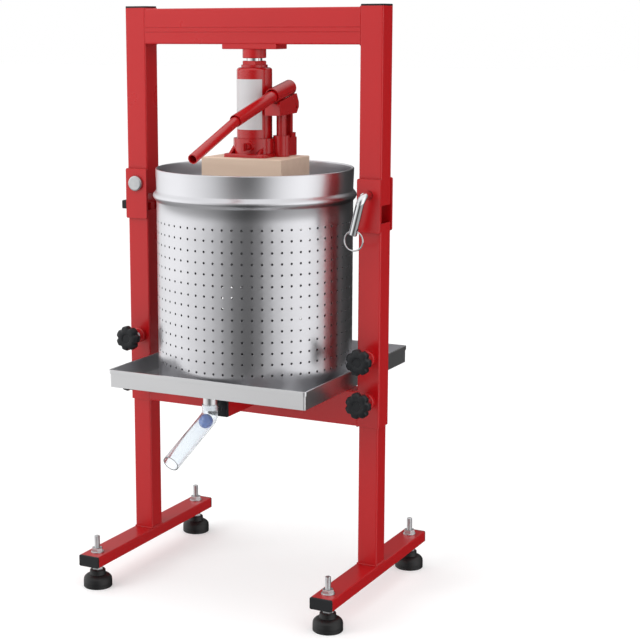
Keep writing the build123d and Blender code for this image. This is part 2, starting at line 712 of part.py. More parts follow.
# ---- jack base: flange, body, pump boss, link lug and pressure cylinder in one casting ----
boss_top = jack_bottom + pump_boss_height
cylinder_floor = jack_bottom + flange_thickness + 2 * ram_floor_gap
lug_back = link_y + link_thickness / 2 + lug_margin
with BuildPart() as jack_base:
    with BuildSketch(Plane.XY.offset(jack_bottom)):
        RectangleRounded(flange_size, flange_size, 6.0)
    extrude(amount=flange_thickness)
    chamfer(jack_base.faces().sort_by(Axis.Z)[-1].edges(), 1.5)
    with BuildSketch(Plane.XY.offset(jack_bottom)):
        Circle(body_diameter / 2)
    extrude(amount=body_height)
    with BuildSketch(Plane.XY.offset(jack_bottom)):
        with Locations((pump_x, pump_y)):
            Circle(pump_boss_diameter / 2)
    extrude(amount=pump_boss_height)
    with BuildSketch(Plane.XY.offset(jack_bottom)):
        with Locations((pump_x / 2 + web_shift, pump_y)):
            Rectangle(pump_x, pump_boss_diameter - 2 * web_inset)
    extrude(amount=body_height - web_step)
    with BuildSketch(Plane.XY.offset(jack_bottom)):
        with Locations((pump_x, (pump_y + lug_back) / 2)):
            Rectangle(lug_width, lug_back - pump_y)
    extrude(amount=body_height)
    with BuildSketch(Plane.XY.offset(jack_bottom)):
        with Locations((pump_x, link_y)):
            Rectangle(lug_width, link_thickness + lug_margin)
    extrude(amount=lug_height)
    for rib_x in rib_places:
        rib_plane = Plane(origin=(rib_x, 0, 0), x_dir=(0, 1, 0), z_dir=(1, 0, 0))
        with BuildSketch(rib_plane):
            with BuildLine():
                rib_foot = jack_bottom + flange_thickness - rib_root
                Polyline((rib_inset - flange_size / 2, rib_foot), (rib_back, rib_foot),
                         (rib_back, rib_foot + rib_height + rib_root), close=True)
            make_face()
        extrude(amount=rib_half, both=True)
    valve_z = jack_bottom + valve_height
    with BuildSketch(Plane.XZ):
        with Locations((valve_x, valve_z)):
            Circle(valve_boss_diameter / 2)
    extrude(amount=valve_boss_front)
    with BuildSketch(Plane.XY.offset(jack_bottom)):
        Circle(cylinder_diameter / 2)
    extrude(amount=reservoir_top - jack_bottom)
    with BuildSketch(Plane.XY.offset(cylinder_floor)):
        Circle(ram_diameter / 2 + ram_fit)
    extrude(amount=reservoir_top - cylinder_floor, mode=Mode.SUBTRACT)
    with BuildSketch(Plane.XY.offset(plunger_low)):
        with Locations((pump_x, pump_y)):
            Circle(plunger_diameter / 2 + plunger_fit)
    extrude(amount=boss_top - plunger_low, mode=Mode.SUBTRACT)
    with BuildSketch(Plane.XZ.offset(valve_boss_front - valve_seat)):
        with Locations((valve_x, valve_z)):
            Circle(valve_stem / 2 + valve_fit)
    extrude(amount=valve_seat + valve_head_gap, mode=Mode.SUBTRACT)
save(jack_base.part, "jack_base")

with BuildPart() as jack_reservoir:
    outer = reservoir_diameter / 2
    inner = outer - reservoir_wall
    neck = cylinder_diameter / 2 + cylinder_fit
    neck_bottom = reservoir_top + cylinder_fit
    with BuildSketch(Plane.XZ):
        with BuildLine():
            Line((inner, reservoir_bottom), (outer, reservoir_bottom))
            Line((outer, reservoir_bottom), (outer, reservoir_top))
            RadiusArc((outer, reservoir_top), (outer - shoulder, nut_bottom), -shoulder)
            Line((outer - shoulder, nut_bottom), (neck, nut_bottom))
            Line((neck, nut_bottom), (neck, neck_bottom))
            Line((neck, neck_bottom), (inner, neck_bottom))
            Line((inner, neck_bottom), (inner, reservoir_bottom))
        make_face()
    revolve(axis=Axis.Z)
save(jack_reservoir.part, "jack_reservoir")

with BuildPart() as jack_top_nut:
    with BuildSketch(Plane.XY.offset(nut_bottom)):
        Circle(top_nut_diameter / 2)
    extrude(amount=top_nut_flange)
    with BuildSketch(Plane.XY.offset(nut_bottom)):
        RegularPolygon(top_nut_flats / 2, 6, major_radius=False)
    extrude(amount=top_nut_height)
    chamfer(jack_top_nut.faces().sort_by(Axis.Z)[-1].edges(), 1.0)
    with BuildSketch(Plane.XY.offset(nut_bottom)):
        Circle(ram_diameter / 2 + ram_fit)
    extrude(amount=top_nut_height, mode=Mode.SUBTRACT)
save(jack_top_nut.part, "jack_top_nut")

ram_bottom = cylinder_floor + ram_floor_gap
with BuildPart() as jack_ram:
    with BuildSketch(Plane.XY.offset(ram_bottom)):
        Circle(ram_diameter / 2)
    extrude(amount=head_plate_bottom - ram_seat_gap - ram_bottom)
    chamfer(jack_ram.faces().sort_by(Axis.Z)[-1].edges(), 1.5)
save(jack_ram.part, "jack_ram")

# ---- pump link with its pivot pin, and the plunger ----
with BuildPart() as pump_link:
    link_bottom = jack_bottom + lug_height
    with BuildSketch(Plane.XY.offset(link_bottom)):
        with Locations((pump_x, link_y)):
            Rectangle(link_width, link_thickness)
    extrude(amount=pivot_height - link_bottom)
    with Locations(Location((pump_x, link_y, pivot_height), (0, 90, 0))):
        Cylinder(link_eye / 2, link_width)
        Cylinder(pivot_diameter / 2, cheek_gap + 2 * cheek_thickness + 3)
save(pump_link.part, "pump_link")

with BuildPart() as pump_plunger:
    with BuildSketch(Plane.XY.offset(plunger_low + ram_floor_gap)):
        with Locations((pump_x, pump_y)):
            Circle(plunger_diameter / 2)
    extrude(amount=plunger_top - plunger_low - ram_floor_gap)
    chamfer(pump_plunger.faces().sort_by(Axis.Z)[-1].edges(), 3.0)
save(pump_plunger.part, "pump_plunger")

# ---- handle socket with its yoke, the tube in it and the end grip ----
with BuildPart() as handle_socket:
    for cheek_side in (-1, 1):
        cheek_x = pump_x + cheek_side * (cheek_gap / 2 + cheek_thickness / 2)
        cheek_plane = Plane(origin=(cheek_x, 0, 0), x_dir=(0, 1, 0), z_dir=(1, 0, 0))
        with BuildSketch(cheek_plane):
            with BuildLine():
                top_front = socket_mouth.Z + (socket_mouth.Y - cheek_front) * -tan(slope) - cheek_top
                Polyline((cheek_front, cheek_bottom), (cheek_back - 8, cheek_bottom + 2),
                         (cheek_back, cheek_bottom + 12), (cheek_back, pivot_height + 6),
                         (socket_rear.Y, socket_rear.Z - cheek_top), (cheek_front + 2, top_front),
                         (cheek_front, cheek_bottom), close=False)
            make_face()
        extrude(amount=cheek_thickness / 2, both=True)
    web_top = socket_mouth.Z - socket_diameter / 2 + web_sink
    web_middle = Vector(pump_x, cheek_front, (cheek_bottom + web_top) / 2)
    with BuildSketch(Plane(origin=web_middle, x_dir=(1, 0, 0), z_dir=(0, -1, 0))):
        Rectangle(cheek_gap + 2 * cheek_thickness, web_top - cheek_bottom)
    extrude(amount=-yoke_web)
    with BuildSketch(Plane(origin=socket_rear, x_dir=(1, 0, 0), z_dir=socket_direction)):
        Circle(socket_diameter / 2)
    extrude(amount=socket_length)
    socket_floor = socket_rear + socket_direction * socket_end
    with BuildSketch(Plane(origin=socket_floor, x_dir=(1, 0, 0), z_dir=socket_direction)):
        Circle(socket_bore / 2)
    extrude(amount=socket_length, mode=Mode.SUBTRACT)
    with Locations(Location((pump_x, link_y, pivot_height), (0, 90, 0))):
        Cylinder(pivot_diameter / 2 + pivot_fit, 4 * cheek_gap, mode=Mode.SUBTRACT)
save(handle_socket.part, "handle_socket")

with BuildPart() as handle_tube:
    with BuildSketch(Plane(origin=tube_start, x_dir=(1, 0, 0), z_dir=tube_direction)):
        Circle(tube_diameter / 2)
        Circle(tube_bore / 2, mode=Mode.SUBTRACT)
    extrude(amount=tube_length)
save(handle_tube.part, "handle_tube")

with BuildPart() as handle_grip:
    with BuildSketch(Plane(origin=grip_start, x_dir=(1, 0, 0), z_dir=grip_direction)):
        Circle(grip_diameter / 2)
        Circle(grip_bore / 2, mode=Mode.SUBTRACT)
    extrude(amount=grip_length)
save(handle_grip.part, "handle_grip")

# ---- release valve ----
valve_head_back = valve_boss_front + valve_head_gap
with BuildPart() as release_valve:
    with BuildSketch(Plane.XZ.offset(valve_head_back)):
        with Locations((valve_x, valve_z)):
            Circle(valve_stem / 2)
    extrude(amount=-valve_stem_length)
    with BuildSketch(Plane.XZ.offset(valve_head_back)):
        with Locations((valve_x, valve_z)):
            Circle(valve_head_diameter / 2)
    extrude(amount=valve_head_length)
    with BuildSketch(Plane.XZ.offset(valve_head_back + valve_head_length)):
        with Locations((valve_x, valve_z)):
            Rectangle(valve_key_thickness, valve_head_diameter)
    extrude(amount=valve_key_length)
save(release_valve.part, "release_valve")
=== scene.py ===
# %% [markdown]
# # A fruit press with a bottle jack
# The press is a welded tube frame in red powder coat. Its top swings away on a bolt at the left.
# A perforated steel drum stands in a drip tray, and a bottle jack pushes a wood block down into it.
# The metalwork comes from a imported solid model. This lesson adds finishes to it, and makes the
# pieces whose fine shape matters: the drum's holes, threads, knobs, foot pads, welds and the label.

import json
from math import atan2, ceil, cos, pi, sin, tau

import bmesh
import bpy
from mathutils import Matrix, Vector


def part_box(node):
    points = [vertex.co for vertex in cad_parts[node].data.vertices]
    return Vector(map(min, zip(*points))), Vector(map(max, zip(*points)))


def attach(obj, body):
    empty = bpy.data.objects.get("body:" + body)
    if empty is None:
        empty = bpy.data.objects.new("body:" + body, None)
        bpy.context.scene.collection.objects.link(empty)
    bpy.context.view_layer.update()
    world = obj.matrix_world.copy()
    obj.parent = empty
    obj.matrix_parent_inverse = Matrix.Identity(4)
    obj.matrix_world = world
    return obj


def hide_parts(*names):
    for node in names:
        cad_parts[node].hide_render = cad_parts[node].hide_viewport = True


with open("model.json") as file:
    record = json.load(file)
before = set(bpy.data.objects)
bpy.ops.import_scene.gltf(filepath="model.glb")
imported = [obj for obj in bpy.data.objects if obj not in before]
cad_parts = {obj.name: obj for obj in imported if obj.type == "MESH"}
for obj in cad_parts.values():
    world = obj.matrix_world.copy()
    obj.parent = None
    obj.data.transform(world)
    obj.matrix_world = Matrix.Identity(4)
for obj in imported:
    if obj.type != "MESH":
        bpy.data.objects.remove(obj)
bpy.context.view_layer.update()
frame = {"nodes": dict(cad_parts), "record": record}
MM = 0.001

# %% [markdown]
# ## Helpers for meshes
# Most hardware is round, so it can be drawn as half an outline and turned about an axis. A lathe
# helper does that with plain vertices and quads. The other choice is a Screw modifier, but plain
# vertices are easier to measure and to export. `make_piece` gives every mesh its material and the
# body that carries it.

# %% Make a piece
def make_piece(name, vertices, faces, material, slot, body, smooth=True):
    """A mesh object with a finish, which moves with a body of the press."""
    mesh = bpy.data.meshes.new(name)
    mesh.from_pydata([tuple(v) for v in vertices], [], faces)
    shape = bmesh.new()
    shape.from_mesh(mesh)
    bmesh.ops.remove_doubles(shape, verts=shape.verts, dist=0.005 * MM)
    bmesh.ops.recalc_face_normals(shape, faces=shape.faces)
    shape.to_mesh(mesh)
    shape.free()
    mesh.materials.append(material)
    piece = bpy.data.objects.new(name, mesh)
    bpy.context.scene.collection.objects.link(piece)
    if smooth:
        mesh.shade_smooth()
        mesh.set_sharp_from_angle(angle=0.6)
    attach(piece, body)
    return piece


# %% Turn an outline
UPRIGHT = Matrix.Identity(4)
FORWARD = Matrix.Rotation(pi / 2, 4, "X")     # turns an upright lathe so that its top points to -Y


def lathe(outline, place, turn=UPRIGHT, steps=64, wobble=None):
    """Turns (radius, height) points about an axis. wobble(angle) scales the radius, for lobes."""
    vertices = []
    faces = []
    for radius, height in outline:
        for step in range(steps):
            angle = tau * step / steps
            reach = radius * (wobble(angle, radius, height) if wobble else 1)
            local = Vector((reach * cos(angle), reach * sin(angle), height))
            vertices.append(place + turn @ local)
    for row in range(len(outline) - 1):
        for step in range(steps):
            after = (step + 1) % steps
            low = row * steps
            high = low + steps
            faces.append((low + step, low + after, high + after, high + step))
    return vertices, faces


# %% Join meshes before they become one piece
def join(*parts):
    """One list of vertices and one of faces from several."""
    vertices = []
    faces = []
    for more_vertices, more_faces in parts:
        first = len(vertices)
        vertices.extend(more_vertices)
        faces.extend(tuple(first + i for i in face) for face in more_faces)
    return vertices, faces


def middle(node):
    """The middle of a node's box."""
    low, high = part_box(node)
    return (low + high) / 2


# %% [markdown]
# ## Effects that several finishes share
# Real finishes differ, but they are built from the same three effects. Edges are never perfectly
# sharp, so light catches them. Colour and gloss drift a little from place to place. And every
# surface has a grain: orange peel in powder coat, brush lines in steel, moulded texture in
# plastic. Each effect is one node group with its own inputs, so a finish only sets numbers.

# %% A group with named sockets
def new_group(name, inputs, outputs):
    """An empty shader group, with its input and output nodes."""
    group = bpy.data.node_groups.new(name, "ShaderNodeTree")
    for label, kind, value in inputs:
        socket = group.interface.new_socket(name=label, in_out="INPUT", socket_type=kind)
        socket.default_value = value
    for label, kind in outputs:
        group.interface.new_socket(name=label, in_out="OUTPUT", socket_type=kind)
    return group, group.nodes.new("NodeGroupInput"), group.nodes.new("NodeGroupOutput")


FLOAT = "NodeSocketFloat"
COLOUR = "NodeSocketColor"
VECTOR = "NodeSocketVector"

# %% Soft edges
edge_group, start, end = new_group(
    "soft_edges", [("Radius", FLOAT, 0.6 * MM)], [("Normal", VECTOR), ("Edge", FLOAT)])
rounding = edge_group.nodes.new("ShaderNodeBevel")
rounding.samples = 4
plain = edge_group.nodes.new("ShaderNodeNewGeometry")
agree = edge_group.nodes.new("ShaderNodeVectorMath")
agree.operation = "DOT_PRODUCT"
spread = edge_group.nodes.new("ShaderNodeMapRange")
spread.inputs["From Min"].default_value = 0.99
spread.inputs["From Max"].default_value = 0.85
edge_group.links.new(start.outputs["Radius"], rounding.inputs["Radius"])
edge_group.links.new(rounding.outputs["Normal"], agree.inputs[0])
edge_group.links.new(plain.outputs["Normal"], agree.inputs[1])
edge_group.links.new(agree.outputs["Value"], spread.inputs["Value"])
edge_group.links.new(rounding.outputs["Normal"], end.inputs["Normal"])
edge_group.links.new(spread.outputs["Result"], end.inputs["Edge"])
print("group:", edge_group.name)

# %% Drift of colour and gloss
drift_group, start, end = new_group(
    "drift",
    [("Color", COLOUR, (0.5, 0.5, 0.5, 1)), ("Other", COLOUR, (0.4, 0.4, 0.4, 1)),
     ("Scale", FLOAT, 12.0), ("Stretch", VECTOR, (1, 1, 1)),
     ("Smooth", FLOAT, 0.3), ("Rough", FLOAT, 0.4)],
    [("Color", COLOUR), ("Roughness", FLOAT), ("Mask", FLOAT)])
place = drift_group.nodes.new("ShaderNodeTexCoord")
stretch = drift_group.nodes.new("ShaderNodeVectorMath")
stretch.operation = "MULTIPLY"
cloud = drift_group.nodes.new("ShaderNodeTexNoise")
cloud.inputs["Detail"].default_value = 5
blend_colours = drift_group.nodes.new("ShaderNodeMix")
blend_colours.data_type = "RGBA"
gloss = drift_group.nodes.new("ShaderNodeMapRange")
drift_group.links.new(place.outputs["Object"], stretch.inputs[0])
drift_group.links.new(start.outputs["Stretch"], stretch.inputs[1])
drift_group.links.new(stretch.outputs[0], cloud.inputs["Vector"])
drift_group.links.new(start.outputs["Scale"], cloud.inputs["Scale"])
drift_group.links.new(cloud.outputs[0], blend_colours.inputs[0])
drift_group.links.new(start.outputs["Color"], blend_colours.inputs[6])
drift_group.links.new(start.outputs["Other"], blend_colours.inputs[7])
drift_group.links.new(cloud.outputs[0], gloss.inputs["Value"])
drift_group.links.new(start.outputs["Smooth"], gloss.inputs["To Min"])
drift_group.links.new(start.outputs["Rough"], gloss.inputs["To Max"])
drift_group.links.new(blend_colours.outputs[2], end.inputs["Color"])
drift_group.links.new(gloss.outputs["Result"], end.inputs["Roughness"])
drift_group.links.new(cloud.outputs[0], end.inputs["Mask"])
print("group:", drift_group.name)

# %% Grain
grain_group, start, end = new_group(
    "grain",
    [("Scale", FLOAT, 400.0), ("Stretch", VECTOR, (1, 1, 1)), ("Depth", FLOAT, 0.02 * MM),
     ("Normal", VECTOR, (0, 0, 0))],
    [("Normal", VECTOR), ("Mask", FLOAT)])
place = grain_group.nodes.new("ShaderNodeTexCoord")
stretch = grain_group.nodes.new("ShaderNodeVectorMath")
stretch.operation = "MULTIPLY"
speckle = grain_group.nodes.new("ShaderNodeTexNoise")
speckle.inputs["Detail"].default_value = 3
relief = grain_group.nodes.new("ShaderNodeBump")
grain_group.links.new(place.outputs["Object"], stretch.inputs[0])
grain_group.links.new(start.outputs["Stretch"], stretch.inputs[1])
grain_group.links.new(stretch.outputs[0], speckle.inputs["Vector"])
grain_group.links.new(start.outputs["Scale"], speckle.inputs["Scale"])
grain_group.links.new(speckle.outputs[0], relief.inputs["Height"])
grain_group.links.new(start.outputs["Depth"], relief.inputs["Distance"])
grain_group.links.new(start.outputs["Normal"], relief.inputs["Normal"])
grain_group.links.new(relief.outputs["Normal"], end.inputs["Normal"])
grain_group.links.new(speckle.outputs[0], end.inputs["Mask"])
print("group:", grain_group.name)

# %% [markdown]
# ## Finishes
# One function wires the three groups into a Principled BSDF, and each finish gives its own
# colours, gloss, grain and edge. The shader itself stays in the material, and every number that
# is the same all over the surface is set on the shader's own socket.

# %% Build a finish
def new_finish(name, colour, other, smooth, rough, drift=12.0, drift_stretch=(1, 1, 1),
               grain=400.0, grain_stretch=(1, 1, 1), depth=0.02, edge=0.6, shader=None):
    """A material from the shared groups. depth and edge are in millimetres."""
    material = bpy.data.materials.new(name)
    material.use_nodes = True
    nodes = material.node_tree.nodes
    links = material.node_tree.links
    surface = nodes["Principled BSDF"]
    for socket, value in (shader or {}).items():
        surface.inputs[socket].default_value = value
    edges = nodes.new("ShaderNodeGroup")
    edges.node_tree = edge_group
    edges.inputs["Radius"].default_value = edge * MM
    clouds = nodes.new("ShaderNodeGroup")
    clouds.node_tree = drift_group
    clouds.inputs["Color"].default_value = (*colour, 1)
    clouds.inputs["Other"].default_value = (*other, 1)
    clouds.inputs["Scale"].default_value = drift
    clouds.inputs["Stretch"].default_value = drift_stretch
    clouds.inputs["Smooth"].default_value = smooth
    clouds.inputs["Rough"].default_value = rough
    texture = nodes.new("ShaderNodeGroup")
    texture.node_tree = grain_group
    texture.inputs["Scale"].default_value = grain
    texture.inputs["Stretch"].default_value = grain_stretch
    texture.inputs["Depth"].default_value = depth * MM
    links.new(edges.outputs["Normal"], texture.inputs["Normal"])
    links.new(texture.outputs["Normal"], surface.inputs["Normal"])
    links.new(clouds.outputs["Color"], surface.inputs["Base Color"])
    links.new(clouds.outputs["Roughness"], surface.inputs["Roughness"])
    return material


# %% The press's finishes
METAL = {"Metallic": 1.0}
finishes = {
    "red_paint": new_finish(
        "red_paint", (0.465, 0.0025, 0.005), (0.42, 0.002, 0.0045), 0.24, 0.34, drift=9,
        grain=520, depth=0.012, edge=0.9, shader={"Coat Weight": 0.15, "Coat Roughness": 0.12}),
    "jack_paint": new_finish(
        "jack_paint", (0.44, 0.002, 0.004), (0.37, 0.0015, 0.003), 0.20, 0.32, drift=30,
        grain=330, depth=0.05, edge=1.0, shader={"Coat Weight": 0.4, "Coat Roughness": 0.1}),
    "stainless": new_finish(
        "stainless", (0.66, 0.66, 0.685), (0.61, 0.61, 0.635), 0.27, 0.33, drift=5,
        drift_stretch=(1, 1, 6), grain=40, grain_stretch=(1, 1, 60), depth=0.006, edge=0.3,
        shader=METAL),
    "tray_steel": new_finish(
        "tray_steel", (0.80, 0.80, 0.81), (0.72, 0.72, 0.73), 0.26, 0.36, drift=7,
        grain=40, grain_stretch=(1, 30, 30), depth=0.006, edge=0.4, shader=METAL),
    "zinc": new_finish(
        "zinc", (0.66, 0.67, 0.68), (0.52, 0.53, 0.54), 0.24, 0.42, drift=120,
        grain=700, depth=0.01, edge=0.3, shader=METAL),
    "chrome": new_finish(
        "chrome", (0.76, 0.77, 0.78), (0.70, 0.71, 0.72), 0.07, 0.15, drift=40,
        grain=300, depth=0.002, edge=0.3, shader=METAL),
    "black_plastic": new_finish(
        "black_plastic", (0.008, 0.009, 0.011), (0.013, 0.014, 0.016), 0.34, 0.46, drift=60,
        grain=1400, depth=0.03, edge=0.5, shader={"Specular IOR Level": 0.35}),
    "black_rubber": new_finish(
        "black_rubber", (0.007, 0.007, 0.008), (0.013, 0.013, 0.013), 0.38, 0.55, drift=50,
        grain=1100, depth=0.04, edge=0.6, shader={"Specular IOR Level": 0.4}),
    "blue_plastic": new_finish(
        "blue_plastic", (0.10, 0.20, 0.58), (0.14, 0.26, 0.64), 0.16, 0.26, drift=80,
        grain=600, depth=0.005, edge=0.3, shader={"Coat Weight": 0.3}),
}
print("finishes:", len(finishes))

# %% [markdown]
# ### Wood
# The block is planed beech. Its long grain shows as soft, stretched streaks with a few darker
# pores. A wave texture would give rings that are too even, so two noises are stretched along the
# block: the drift for the tone and a finer one for the pores.

# %% Wood
wood = new_finish(
    "wood", (0.78, 0.61, 0.48), (0.66, 0.49, 0.375), 0.50, 0.66, drift=22,
    drift_stretch=(0.35, 3.0, 3.0), grain=90, grain_stretch=(0.6, 7, 7), depth=0.10, edge=1.2)
finishes["wood"] = wood

# %% [markdown]
# ### Clear hose
# Soft PVC is clear with a faint blue cast. Transmission carries the look, and the colour stays
# close to white because light crosses two walls.

# %% Clear hose
hose_finish = new_finish(
    "clear_hose", (0.93, 0.96, 0.985), (0.90, 0.94, 0.97), 0.03, 0.10, drift=20,
    grain=60, depth=0.02, edge=0.3, shader={"Transmission Weight": 0.95, "IOR": 1.42})
finishes["clear_hose"] = hose_finish

# %% Give every node its finish
for row in frame["record"]["subparts"]:
    node = frame["nodes"][row["node"]]
    node.data.materials.clear()
    node.data.materials.append(finishes[row["material_slot"]])
    node.data.shade_smooth()
    node.data.set_sharp_from_angle(angle=0.5)

# %% [markdown]
# ## The drum
# The drum is one rolled sheet with a pressed bead near the top, a rolled rim and rows of small
# juice holes. Holes could be cut with a Boolean modifier, but a thousand cutters are slow and
# leave poor shading. Each hole is instead the middle of one square cell: the cell's border and the
# hole's circle have the same number of points, so quads join them, and cells tile the wall.

# %% Drum sizes
drum_low, drum_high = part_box("drum")
drum_axis = middle("drum")
BEAD_PROUD = 6 * MM
DRUM_WALL = 1.5 * MM
drum_radius = (drum_high.x - drum_low.x) / 2 - BEAD_PROUD
RIM_ROLL = 2 * MM
rim = drum_high.z
BEAD_MIDDLE = rim - 46 * MM
BEAD_HALF = 10 * MM
HOLE_RADIUS = 2 * MM
HOLE_COLUMNS = 64
HOLE_ROWS = 14
ROW_PITCH = 18.4 * MM
FIRST_ROW = rim - 88 * MM
CELL_SIDE = 4                 # edges along each side of a cell
PATTERN_TURN = 0.65           # of a cell, so that near and far holes do not line up
print("drum radius in mm:", round(drum_radius / MM, 1))


# %% One cell of the wall
def on_wall(angle, height, radius):
    """A point on the drum's wall."""
    return Vector((drum_axis.x + radius * cos(angle), drum_axis.y + radius * sin(angle), height))


def border_points(half_width, half_height):
    """Points round a cell, evenly spaced along its sides, starting at one corner."""
    corners = [(-1, -1), (1, -1), (1, 1), (-1, 1)]
    points = []
    for index, (x, y) in enumerate(corners):
        next_x, next_y = corners[(index + 1) % 4]
        for step in range(CELL_SIDE):
            share = step / CELL_SIDE
            points.append(((x + (next_x - x) * share) * half_width,
                           (y + (next_y - y) * share) * half_height))
    return points


# %% The perforated band
half_width = pi * drum_radius / HOLE_COLUMNS
border = border_points(half_width, ROW_PITCH / 2)
count = len(border)
band_vertices = []
band_faces = []
for row in range(HOLE_ROWS):
    for column in range(HOLE_COLUMNS):
        turn = tau * (column + PATTERN_TURN) / HOLE_COLUMNS
        height = FIRST_ROW - row * ROW_PITCH
        first = len(band_vertices)
        for radius in (drum_radius, drum_radius - DRUM_WALL):
            for along, up in border:
                band_vertices.append(on_wall(turn + along / drum_radius, height + up, radius))
            for along, up in border:
                angle = atan2(up, along)
                hole_turn = turn + HOLE_RADIUS * cos(angle) / drum_radius
                band_vertices.append(on_wall(hole_turn, height + HOLE_RADIUS * sin(angle), radius))
        for i in range(count):
            j = (i + 1) % count
            outer, outer_hole = first, first + count
            inner, inner_hole = first + 2 * count, first + 3 * count
            band_faces.append((outer + i, outer + j, outer_hole + j, outer_hole + i))
            band_faces.append((inner + j, inner + i, inner_hole + i, inner_hole + j))
            band_faces.append((outer_hole + i, outer_hole + j, inner_hole + j, inner_hole + i))
print("holes:", HOLE_ROWS * HOLE_COLUMNS)

# %% The plain wall, bead, rim and floor
wall_steps = HOLE_COLUMNS * CELL_SIDE
half_cell = pi / HOLE_COLUMNS
band_top = FIRST_ROW + ROW_PITCH / 2
band_bottom = FIRST_ROW - (HOLE_ROWS - 0.5) * ROW_PITCH
inside = drum_radius - DRUM_WALL


def bead_outline(radius, upwards):
    """The half wave of the pressed bead, from low to high or back."""
    steps = 12
    points = []
    for step in range(steps + 1):
        share = step / steps if upwards else 1 - step / steps
        swell = BEAD_PROUD * sin(pi * share) ** 1.4
        points.append((radius + swell, BEAD_MIDDLE - BEAD_HALF + 2 * BEAD_HALF * share))
    return points


rim_middle = rim - RIM_ROLL
rim_outline = [(drum_radius - DRUM_WALL / 2 + RIM_ROLL * cos(a), rim_middle + RIM_ROLL * sin(a))
               for a in [pi * step / 10 for step in range(11)]]
upper_outline = ([(drum_radius, band_top)] + bead_outline(drum_radius, True) + rim_outline
                 + bead_outline(inside, False) + [(inside, band_top)])
FLOOR_LIFT = 6 * MM
floor_top = drum_low.z + FLOOR_LIFT + DRUM_WALL
lower_outline = [(drum_radius, band_bottom), (drum_radius, drum_low.z), (inside, drum_low.z),
                 (inside, drum_low.z + FLOOR_LIFT), (0.001 * MM, drum_low.z + FLOOR_LIFT),
                 (0.001 * MM, floor_top), (inside, floor_top), (inside, band_bottom)]
seam_turn = Matrix.Rotation(-half_cell + tau * PATTERN_TURN / HOLE_COLUMNS, 4, "Z")
axis_at_ground = Vector((drum_axis.x, drum_axis.y, 0))
drum_piece = make_piece(
    "drum_shell",
    *join((band_vertices, band_faces),
          lathe(upper_outline, axis_at_ground, seam_turn, wall_steps),
          lathe(lower_outline, axis_at_ground, seam_turn, wall_steps)),
    finishes["stainless"], "stainless", "tray_unit")
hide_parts("drum")
print("drum faces:", len(drum_piece.data.polygons))

# %% [markdown]
# ## Threads
# A thread is a ridge that climbs as it turns. It could be a bump, but close to the outline a bump
# shows a smooth edge, so the ridge is real: a ring of points whose radius follows a saw tooth that
# shifts with the angle. The same function makes the levelling studs and the clamp screws.

# %% A threaded rod
THREAD_PITCH = 1.5 * MM
THREAD_DEPTH = 0.7 * MM
POINTS_PER_PITCH = 4


def threaded_rod(radius, bottom, top, place, turn=UPRIGHT, steps=20):
    """A rod with a real thread, from bottom to top along its axis."""
    rows = ceil((top - bottom) / THREAD_PITCH * POINTS_PER_PITCH)
    outline = [(radius, bottom + (top - bottom) * row / rows) for row in range(rows + 1)]

    def ridge(angle, radius_here, height):
        phase = (height / THREAD_PITCH + angle / tau) % 1.0
        return 1 - THREAD_DEPTH / radius * abs(2 * phase - 1)

    ends = 0.6
    outline = [(radius * ends, bottom)] + outline + [(radius * ends, top + 0.8 * MM)]
    outline = [(0.001 * MM, bottom)] + outline + [(0.001 * MM, top + 0.8 * MM)]
    return lathe(outline, place, turn, steps, ridge)


# %% A hexagon nut
def hexagon(flats, bottom, top, place, turn=UPRIGHT, chamfer=0.8 * MM):
    """A nut's outside, with its corners eased above and below."""
    across = flats / 2 / cos(pi / 6)
    outline = [(0.001 * MM, bottom), (across - chamfer, bottom), (across, bottom + chamfer * 0.6),
               (across, top - chamfer * 0.6), (across - chamfer, top), (0.001 * MM, top)]
    return lathe(outline, place, turn, 6)


# %% [markdown]
# ## Levelling feet
# Each foot is a rubber pad with a flat puck, a fine moulding line and a domed shoulder. A zinc
# stud with a jam nut screws into it. The pad is one turned outline and the stud is the rod above.
# The nut on top of each foot bar is part of the bar, so a thin zinc skin is laid over it.

# %% Feet
STUD_RADIUS = 5 * MM
NUT_FLATS = 17 * MM
JAM_NUT = 5 * MM
BAR_NUT_HEIGHT = 8 * MM


def pad_outline(radius, height):
    """Half the pad's outline, from the floor up."""
    puck = 13.5 * MM
    line = 0.5 * MM
    neck = 14.5 * MM
    shoulder = 22.5 * MM
    points = [(0.001 * MM, 0), (radius - 1.2 * MM, 0), (radius, 1.2 * MM), (radius, puck * 0.42),
              (radius - line, puck * 0.45), (radius - line, puck * 0.50), (radius, puck * 0.53),
              (radius, puck - 1 * MM), (radius - 0.4 * MM, puck)]
    for step in range(1, 9):
        share = step / 8
        reach = radius - (radius - neck) * (1 - cos(share * pi / 2)) ** 0.9
        points.append((reach, puck + (shoulder - puck) * sin(share * pi / 2)))
    points += [(neck - 0.4 * MM, shoulder + 1 * MM), (neck - 1 * MM, height - 0.8 * MM),
               (neck - 1.8 * MM, height), (0.001 * MM, height)]
    return points


def flange_nut(bar_top, spot):
    """A zinc skin just proud of the plain nut and flange that are part of the bar."""
    proud = 0.3 * MM
    flange_radius = 11 * MM + proud
    flange_top = bar_top + 1.6 * MM + proud
    nut_top = bar_top + BAR_NUT_HEIGHT + proud
    bore = 5.25 * MM
    reach = (NUT_FLATS / 2 + proud) / cos(pi / 6)
    flange = [(reach - 2 * MM, bar_top), (flange_radius, bar_top),
              (flange_radius, flange_top - 0.5 * MM), (flange_radius - 0.5 * MM, flange_top),
              (reach - 2 * MM, flange_top)]
    nut = [(reach, flange_top - 0.2 * MM), (reach, nut_top - 0.9 * MM), (reach - 1.2 * MM, nut_top),
           (bore + 0.6 * MM, nut_top), (bore, nut_top - 0.6 * MM)]
    return join(lathe(flange, spot, steps=48), lathe(nut, spot, steps=6))


